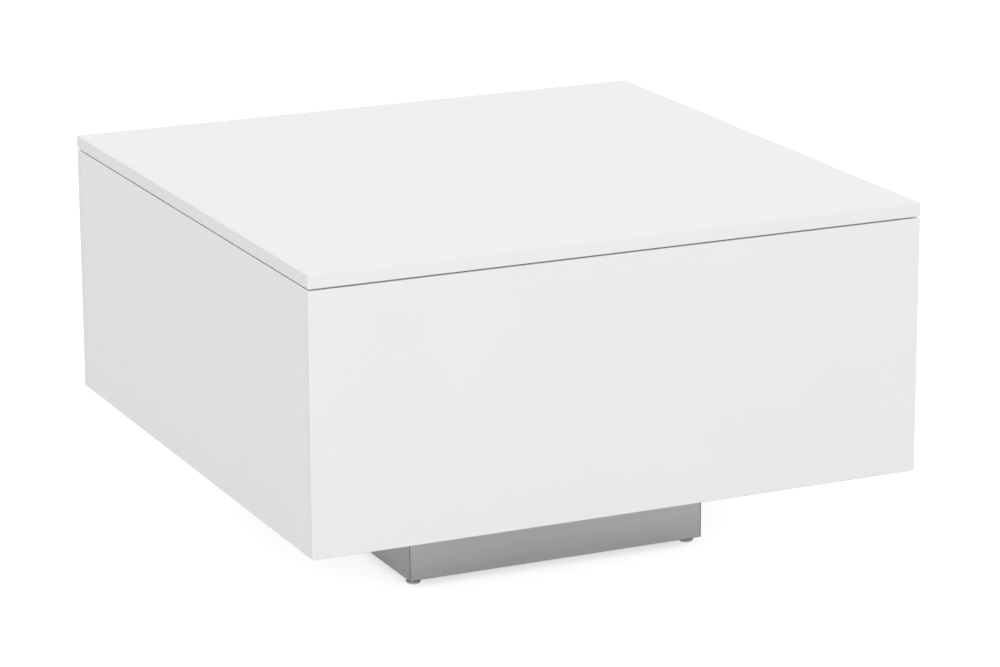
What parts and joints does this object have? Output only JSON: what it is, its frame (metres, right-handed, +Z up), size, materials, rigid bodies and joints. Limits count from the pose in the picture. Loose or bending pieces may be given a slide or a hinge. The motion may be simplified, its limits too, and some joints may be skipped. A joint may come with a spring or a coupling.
{
  "type": "storage coffee table",
  "caption": "Square white lacquered storage coffee table on a smaller steel-clad plinth, with a lift-up top on parallel arms over a hidden compartment and screw-in levelling feet.",
  "frame": {"origin": "on the floor under the middle of the table, with the feet screwed fully in", "axes": "+Z up, -Y towards the front, +X to the right as seen from the front"},
  "size_m": [0.7, 0.7, 0.403],
  "materials": {
    "white_lacquer": "gloss",
    "plinth_steel": "satin",
    "plain_wood": "matte",
    "zinc_plate": "satin",
    "bright_steel": "polished",
    "dark_steel": "satin",
    "black_plastic": "satin",
    "white_plastic": "satin",
    "grey_plastic": "satin",
    "clear_rubber": "satin"
  },
  "bodies": {
    "root": {"front_panel": "white_lacquer", "back_panel": "white_lacquer", "left_panel": "white_lacquer", "right_panel": "white_lacquer", "base_board": "white_lacquer", "cam_locks": "zinc_plate", "cam_bolts": "zinc_plate", "cam_covers": "white_plastic", "wood_dowels": "plain_wood", "plinth_front_board": "plain_wood", "plinth_back_board": "plain_wood", "plinth_left_board": "plain_wood", "plinth_right_board": "plain_wood", "plinth_front_cladding": "plinth_steel", "plinth_back_cladding": "plinth_steel", "plinth_left_cladding": "plinth_steel", "plinth_right_cladding": "plinth_steel", "plinth_corner_blocks": "plain_wood", "plinth_block_screws": "zinc_plate", "plinth_fixing_screws": "zinc_plate", "foot_insert_nuts": "zinc_plate", "left_base_bracket": "zinc_plate", "right_base_bracket": "zinc_plate", "base_bracket_screws": "zinc_plate", "base_pivot_pins": "bright_steel", "base_pivot_washers": "white_plastic", "strut_anchor_pins": "bright_steel", "arm_stop_pins": "bright_steel", "lid_bumpers": "clear_rubber"},
    "lid": {"lid_board": "white_lacquer", "left_lid_bracket": "zinc_plate", "right_lid_bracket": "zinc_plate", "lid_bracket_screws": "zinc_plate", "lid_pivot_pins": "bright_steel", "lid_pivot_washers": "white_plastic"},
    "left_front_arm": {"left_front_arm": "dark_steel", "left_strut_lever_pin": "bright_steel"},
    "left_rear_arm": {"left_rear_arm": "dark_steel"},
    "left_strut_tube": {"left_strut_tube": "dark_steel", "left_strut_guide": "black_plastic"},
    "left_strut_rod": {"left_strut_rod": "bright_steel", "left_strut_piston": "black_plastic"},
    "right_front_arm": {"right_front_arm": "dark_steel", "right_strut_lever_pin": "bright_steel"},
    "right_rear_arm": {"right_rear_arm": "dark_steel"},
    "right_strut_tube": {"right_strut_tube": "dark_steel", "right_strut_guide": "black_plastic"},
    "right_strut_rod": {"right_strut_rod": "bright_steel", "right_strut_piston": "black_plastic"},
    "foot_front_left": {"foot_pad_front_left": "grey_plastic", "foot_stud_front_left": "zinc_plate"},
    "foot_front_right": {"foot_pad_front_right": "grey_plastic", "foot_stud_front_right": "zinc_plate"},
    "foot_back_left": {"foot_pad_back_left": "grey_plastic", "foot_stud_back_left": "zinc_plate"},
    "foot_back_right": {"foot_pad_back_right": "grey_plastic", "foot_stud_back_right": "zinc_plate"}
  },
  "joints": [
    {"name": "left_front_arm_lift", "type": "hinge", "parent": "root", "child": "left_front_arm", "pos_m": [-0.3299, -0.12, 0.33127], "axis": [1, 0, 0], "range_deg": [0, 100]},
    {"name": "lid_on_arms", "type": "hinge", "parent": "left_front_arm", "child": "lid", "pos_m": [-0.3299, 0.07696, 0.366], "axis": [1, 0, 0], "range_deg": [-100, 0]},
    {"name": "left_rear_arm_lift", "type": "hinge", "parent": "root", "child": "left_rear_arm", "pos_m": [-0.3299, -0.05872, 0.27985], "axis": [1, 0, 0], "range_deg": [0, 100]},
    {"name": "right_front_arm_lift", "type": "hinge", "parent": "root", "child": "right_front_arm", "pos_m": [0.3299, -0.12, 0.33127], "axis": [1, 0, 0], "range_deg": [0, 100]},
    {"name": "right_rear_arm_lift", "type": "hinge", "parent": "root", "child": "right_rear_arm", "pos_m": [0.3299, -0.05872, 0.27985], "axis": [1, 0, 0], "range_deg": [0, 100]},
    {"name": "left_strut_tube_swing", "type": "hinge", "parent": "root", "child": "left_strut_tube", "pos_m": [-0.3159, -0.07985, 0.24517], "axis": [1, 0, 0], "range_deg": [0, 50]},
    {"name": "left_strut_rod_swing", "type": "hinge", "parent": "left_front_arm", "child": "left_strut_rod", "pos_m": [-0.3159, -0.02644, 0.34777], "axis": [1, 0, 0], "range_deg": [-50, 0]},
    {"name": "right_strut_tube_swing", "type": "hinge", "parent": "root", "child": "right_strut_tube", "pos_m": [0.3159, -0.07985, 0.24517], "axis": [1, 0, 0], "range_deg": [0, 50]},
    {"name": "right_strut_rod_swing", "type": "hinge", "parent": "right_front_arm", "child": "right_strut_rod", "pos_m": [0.3159, -0.02644, 0.34777], "axis": [1, 0, 0], "range_deg": [-50, 0]},
    {"name": "foot_height_front_left", "type": "slide", "parent": "root", "child": "foot_front_left", "axis": [0, 0, -1], "range_m": [0, 0.008]},
    {"name": "foot_height_front_right", "type": "slide", "parent": "root", "child": "foot_front_right", "axis": [0, 0, -1], "range_m": [0, 0.008]},
    {"name": "foot_height_back_left", "type": "slide", "parent": "root", "child": "foot_back_left", "axis": [0, 0, -1], "range_m": [0, 0.008]},
    {"name": "foot_height_back_right", "type": "slide", "parent": "root", "child": "foot_back_right", "axis": [0, 0, -1], "range_m": [0, 0.008]}
  ],
  "couplings": [
    {"joint": "lid_on_arms", "follows": "left_front_arm_lift", "ratio": -1},
    {"joint": "left_rear_arm_lift", "follows": "left_front_arm_lift", "ratio": 1},
    {"joint": "right_front_arm_lift", "follows": "left_front_arm_lift", "ratio": 1},
    {"joint": "right_rear_arm_lift", "follows": "left_front_arm_lift", "ratio": 1},
    {"joint": "left_strut_tube_swing", "follows": "left_front_arm_lift", "ratio": 0.5},
    {"joint": "right_strut_tube_swing", "follows": "left_front_arm_lift", "ratio": 0.5},
    {"joint": "left_strut_rod_swing", "follows": "left_front_arm_lift", "ratio": -0.5},
    {"joint": "right_strut_rod_swing", "follows": "left_front_arm_lift", "ratio": -0.5}
  ]
}
